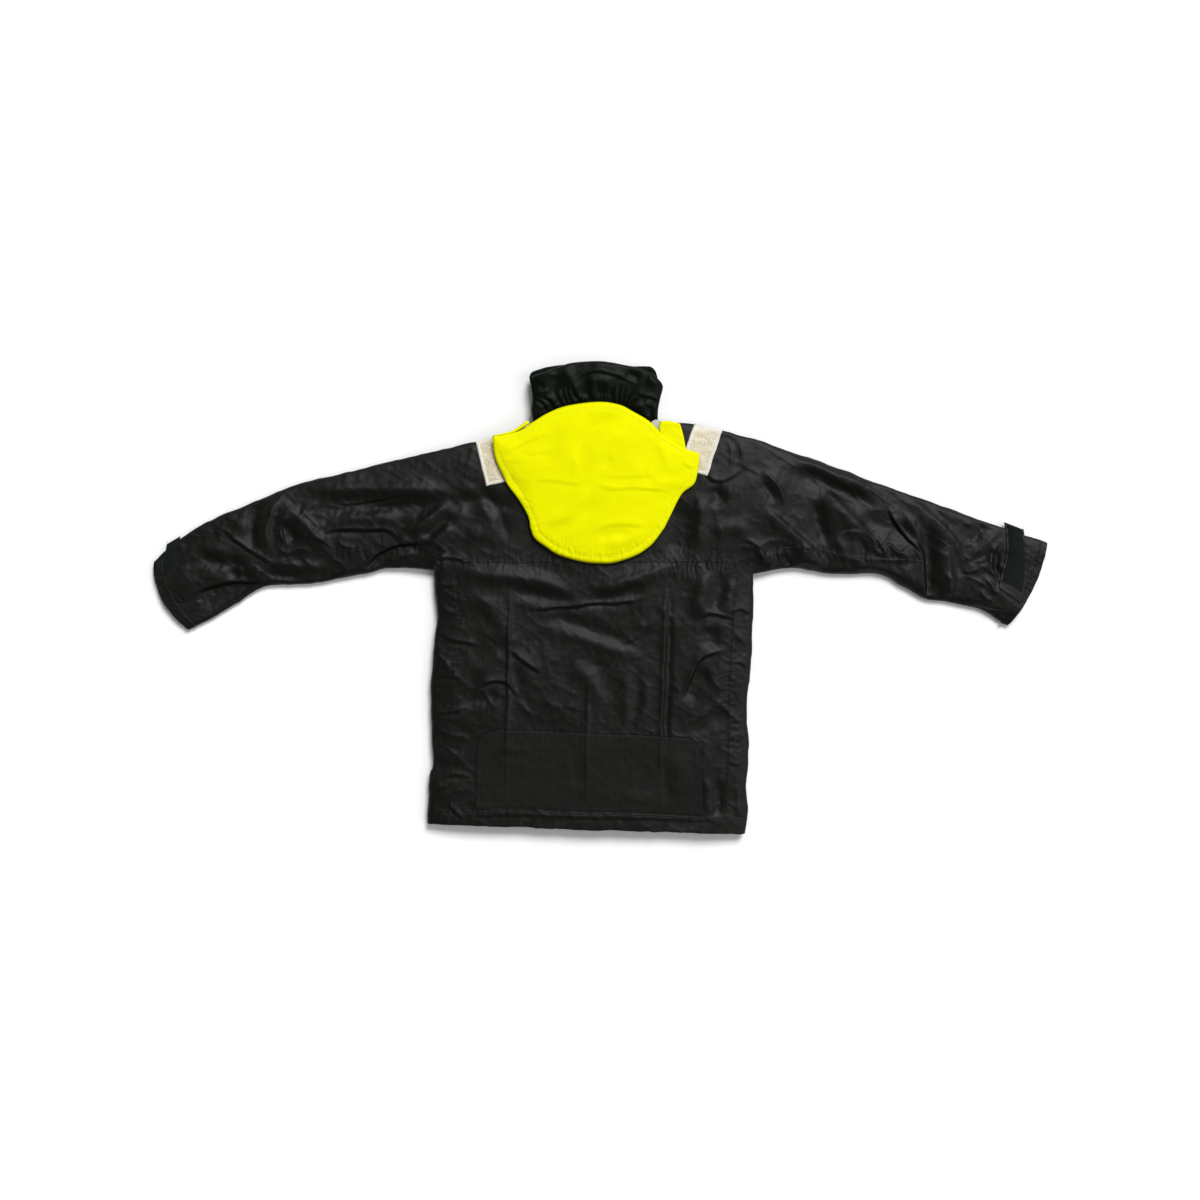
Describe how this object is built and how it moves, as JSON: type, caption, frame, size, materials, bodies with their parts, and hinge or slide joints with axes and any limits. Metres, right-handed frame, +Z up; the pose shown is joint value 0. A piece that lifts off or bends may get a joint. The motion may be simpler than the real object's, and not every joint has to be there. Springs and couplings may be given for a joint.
{
  "type": "sailing jacket",
  "caption": "Offshore sailing jacket laid flat with its back up: hood over the back, high collar, long sleeves with cuff tabs, seat patch, front zip with storm flap, cargo pockets.",
  "frame": {"origin": "on the table under the middle of the jacket's outline", "axes": "+Z up off the table, +Y from the hem to the collar, +X across the sleeves to the wearer's right"},
  "size_m": [1.656, 0.872, 0.052],
  "materials": {
    "shell_fabric": "matt coated plain weave, slightly creased",
    "seat_fabric": "coarse abrasion resistant weave, matt",
    "hood_fabric": "fluorescent coated plain weave",
    "reflective_film": "prismatic retro-reflective film with a stitched border",
    "hook_and_loop": "hook and loop tape",
    "lining": "knitted mesh lining",
    "fleece": "brushed fleece",
    "trim": "moulded and woven black trim",
    "zip_metal": "satin nickel plate",
    "grey_tape": "light grey woven tape"
  },
  "bodies": {
    "root": {"back_panel": "shell_fabric", "back_yoke": "shell_fabric", "back_lining": "lining", "seat_patch": "seat_fabric", "hem_channel": "shell_fabric", "hem_shock_cord": "trim", "left_cord_lock": "trim", "right_cord_lock": "trim", "left_side_panel": "shell_fabric", "right_side_panel": "shell_fabric", "left_front_panel": "shell_fabric", "right_front_panel": "shell_fabric", "left_front_lining": "lining", "right_front_lining": "lining", "left_shoulder_reflector": "reflective_film", "right_shoulder_reflector": "reflective_film", "collar_shell": "shell_fabric", "collar_fleece": "fleece", "collar_elastic": "trim", "collar_tab": "grey_tape", "hanger_loop": "trim", "left_zip_tape": "trim", "right_zip_tape": "trim", "left_zip_teeth": "trim", "right_zip_teeth": "trim", "zip_box": "trim", "storm_flap_seam": "shell_fabric", "storm_flap_loop": "hook_and_loop", "left_cargo_pocket": "shell_fabric", "right_cargo_pocket": "shell_fabric", "left_pocket_flap_seam": "shell_fabric", "right_pocket_flap_seam": "shell_fabric"},
    "hood": {"hood_top": "hood_fabric", "hood_under": "hood_fabric", "left_hood_strip": "hood_fabric", "right_hood_strip": "hood_fabric"},
    "storm_flap": {"storm_flap": "shell_fabric", "storm_flap_hook": "hook_and_loop"},
    "zip_slider": {"zip_slider": "zip_metal", "zip_pull": "trim"},
    "left_upper_sleeve": {"left_upper_sleeve": "shell_fabric", "left_upper_sleeve_under": "shell_fabric"},
    "left_forearm": {"left_forearm_sleeve": "shell_fabric", "left_forearm_sleeve_under": "shell_fabric", "left_cuff_loop_patch": "hook_and_loop", "left_inner_cuff": "trim"},
    "left_cuff_tab": {"left_cuff_tab": "hook_and_loop"},
    "left_pocket_flap": {"left_pocket_flap": "shell_fabric"},
    "left_lock_button": {"left_cord_lock_button": "trim"},
    "right_upper_sleeve": {"right_upper_sleeve": "shell_fabric", "right_upper_sleeve_under": "shell_fabric"},
    "right_forearm": {"right_forearm_sleeve": "shell_fabric", "right_forearm_sleeve_under": "shell_fabric", "right_cuff_loop_patch": "hook_and_loop", "right_inner_cuff": "trim"},
    "right_cuff_tab": {"right_cuff_tab": "hook_and_loop"},
    "right_pocket_flap": {"right_pocket_flap": "shell_fabric"},
    "right_lock_button": {"right_cord_lock_button": "trim"}
  },
  "joints": [
    {"name": "left_shoulder_swing", "type": "hinge", "parent": "root", "child": "left_upper_sleeve", "pos_m": [-0.33, 0.161, 0], "axis": [0, 0, 1], "range_deg": [-12, 28]},
    {"name": "left_elbow_bend", "type": "hinge", "parent": "left_upper_sleeve", "child": "left_forearm", "pos_m": [-0.607, 0.11, 0], "axis": [0, 0, 1], "range_deg": [-12, 22]},
    {"name": "left_cuff_tab_peel", "type": "hinge", "parent": "left_forearm", "child": "left_cuff_tab", "pos_m": [-0.73857, 0.00138, 0.02283], "axis": [0.8844, 0.4666, 0.0104], "range_deg": [0, 120]},
    {"name": "left_pocket_flap_open", "type": "hinge", "parent": "root", "child": "left_pocket_flap", "pos_m": [-0.166, -0.163, 0.0015], "axis": [1, 0, 0], "range_deg": [0, 120]},
    {"name": "left_lock_button_press", "type": "slide", "parent": "root", "child": "left_lock_button", "axis": [-1, 0, 0], "range_m": [0, 0.003], "stiffness_N_per_m": 300},
    {"name": "right_shoulder_swing", "type": "hinge", "parent": "root", "child": "right_upper_sleeve", "pos_m": [0.33, 0.167, 0], "axis": [0, 0, -1], "range_deg": [-12, 28]},
    {"name": "right_elbow_bend", "type": "hinge", "parent": "right_upper_sleeve", "child": "right_forearm", "pos_m": [0.594, 0.092, 0], "axis": [0, 0, -1], "range_deg": [-12, 22]},
    {"name": "right_cuff_tab_peel", "type": "hinge", "parent": "right_forearm", "child": "right_cuff_tab", "pos_m": [0.73152, 0.00332, 0.02283], "axis": [0.9744, -0.2244, -0.0105], "range_deg": [0, 120]},
    {"name": "right_pocket_flap_open", "type": "hinge", "parent": "root", "child": "right_pocket_flap", "pos_m": [0.138, -0.163, 0.0015], "axis": [1, 0, 0], "range_deg": [0, 120]},
    {"name": "right_lock_button_press", "type": "slide", "parent": "root", "child": "right_lock_button", "axis": [1, 0, 0], "range_m": [0, 0.003], "stiffness_N_per_m": 300},
    {"name": "hood_flip", "type": "hinge", "parent": "root", "child": "hood", "pos_m": [0, 0.366, 0.047], "axis": [-1, 0, 0], "range_deg": [0, 165]},
    {"name": "storm_flap_open", "type": "hinge", "parent": "root", "child": "storm_flap", "pos_m": [-0.056, 0, 0.0022], "axis": [0, 1, 0], "range_deg": [0, 110]},
    {"name": "zip_run", "type": "slide", "parent": "root", "child": "zip_slider", "axis": [0, 1, 0], "range_m": [-0.684, 0]}
  ]
}
